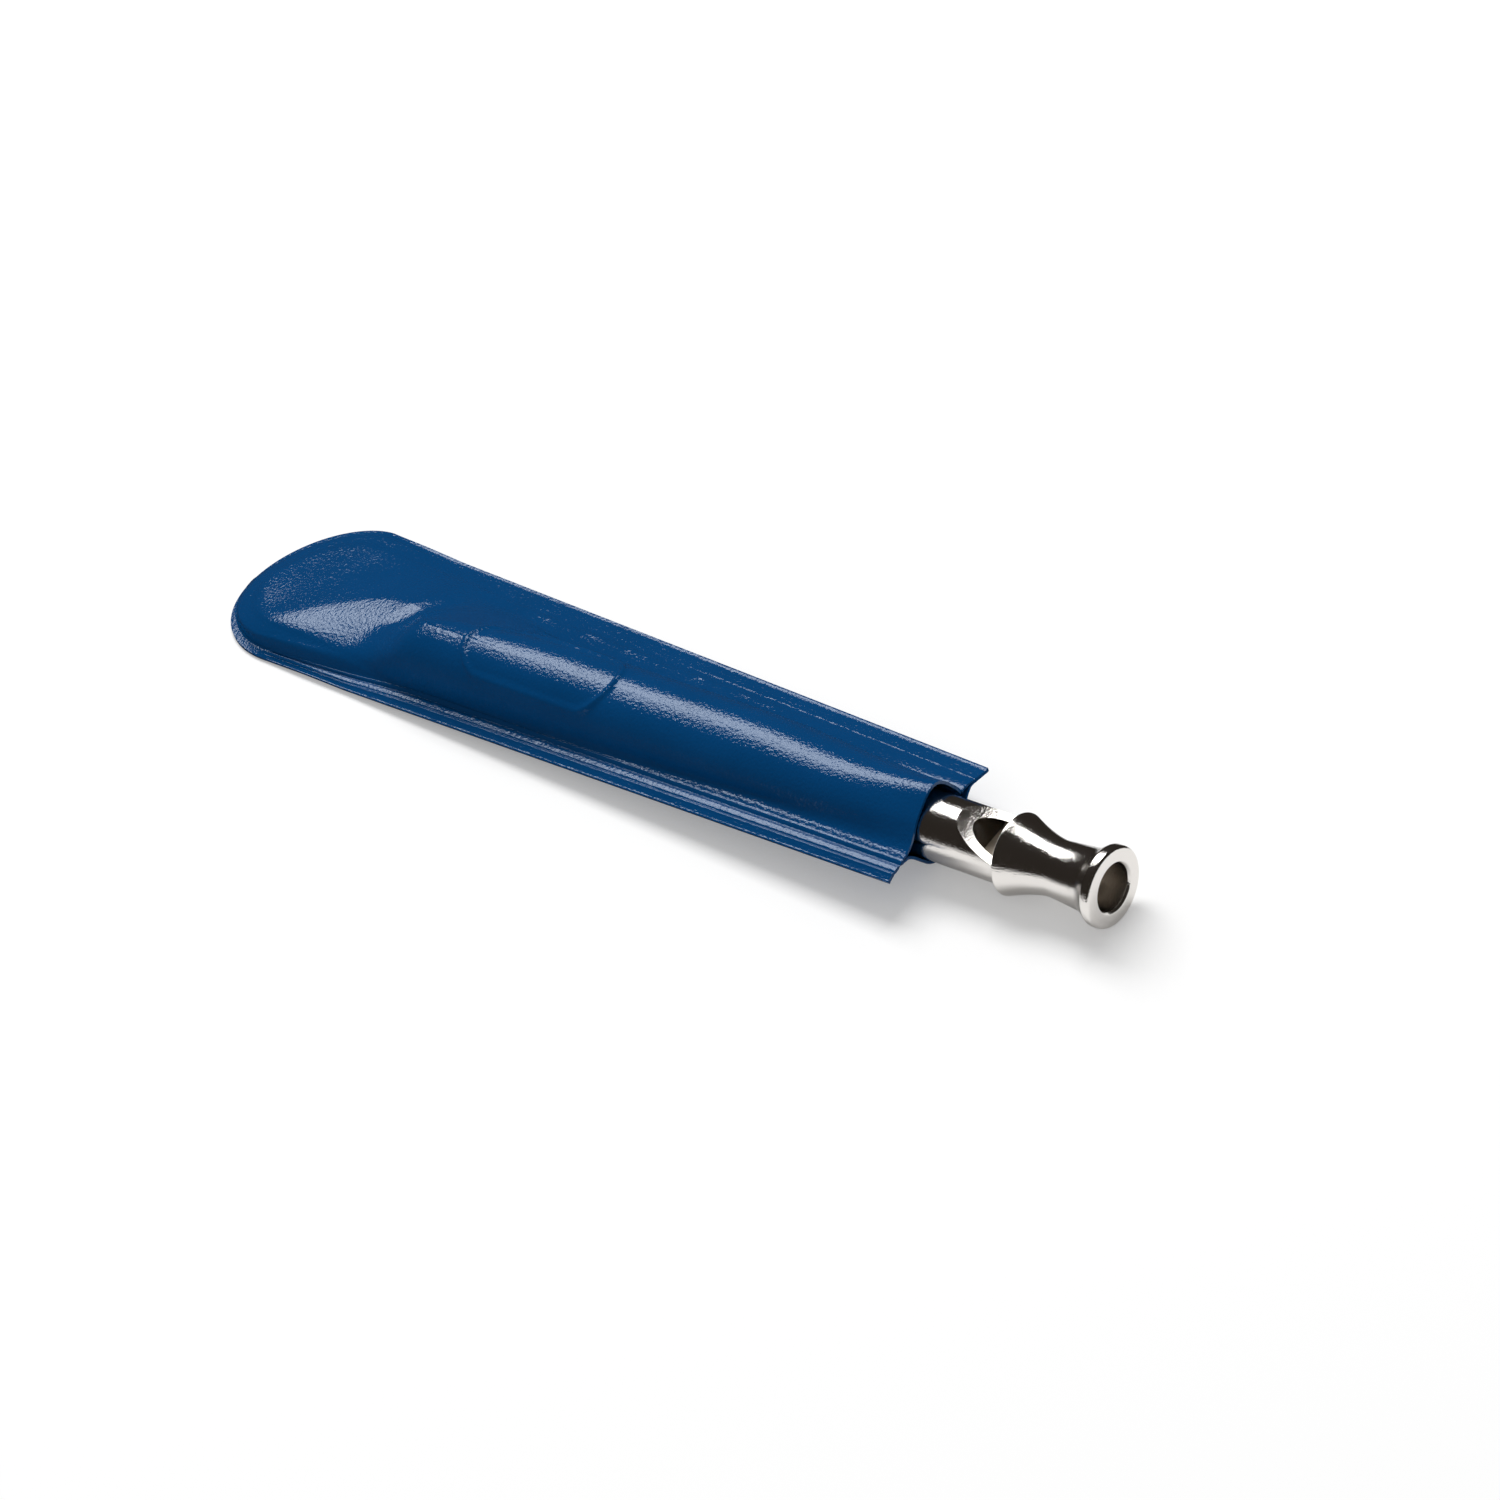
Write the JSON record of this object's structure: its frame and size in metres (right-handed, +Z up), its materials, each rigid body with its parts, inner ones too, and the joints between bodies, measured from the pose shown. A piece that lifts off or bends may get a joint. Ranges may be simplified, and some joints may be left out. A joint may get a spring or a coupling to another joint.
{
  "type": "dog whistle",
  "caption": "Plated silent dog whistle with a screw-tuned piston, partly drawn out of a soft welded sleeve with a round end.",
  "frame": {"origin": "on the flat underside of the sleeve's closed end, below the whistle's axis", "axes": "+X along the whistle towards the mouthpiece, +Z up, out of the window"},
  "size_m": [0.1569, 0.0312, 0.0116],
  "materials": {
    "plated_metal": "polished nickel plate",
    "dull_brass": "turned, unpolished",
    "steel": "turned",
    "black_rubber": "matt",
    "blue_vinyl": "soft sheet with a fine grain, satin"
  },
  "bodies": {
    "sleeve": {"sleeve_top_sheet": "blue_vinyl", "sleeve_bottom_sheet": "blue_vinyl"},
    "whistle": {"mouthpiece": "plated_metal", "windway_block": "dull_brass", "barrel": "plated_metal", "end_bush": "plated_metal"},
    "piston": {"tuning_piston": "dull_brass", "piston_seal": "black_rubber"},
    "tuning_screw": {"tuning_spindle": "steel", "piston_clip": "steel", "tuning_knob": "plated_metal", "knob_pin": "steel"},
    "lock_nut": {"lock_nut": "plated_metal"}
  },
  "joints": [
    {"name": "whistle_slide", "type": "slide", "parent": "sleeve", "child": "whistle", "axis": [1, 0, 0], "range_m": [-0.0124, 0.067]},
    {"name": "piston_slide", "type": "slide", "parent": "whistle", "child": "piston", "axis": [-1, 0, 0], "range_m": [-0.00245, 0.0042]},
    {"name": "knob_turn", "type": "hinge", "parent": "piston", "child": "tuning_screw", "pos_m": [0.0554, 0, 0.0055], "axis": [-1, 0, 0], "range_deg": [-1262, 2162]},
    {"name": "lock_nut_turn", "type": "hinge", "parent": "whistle", "child": "lock_nut", "pos_m": [0.0632, 0, 0.0055], "axis": [-1, 0, 0], "range_deg": [0, 180]}
  ],
  "couplings": [
    {"joint": "knob_turn", "follows": "piston_slide", "rad_per_m": 8976}
  ]
}
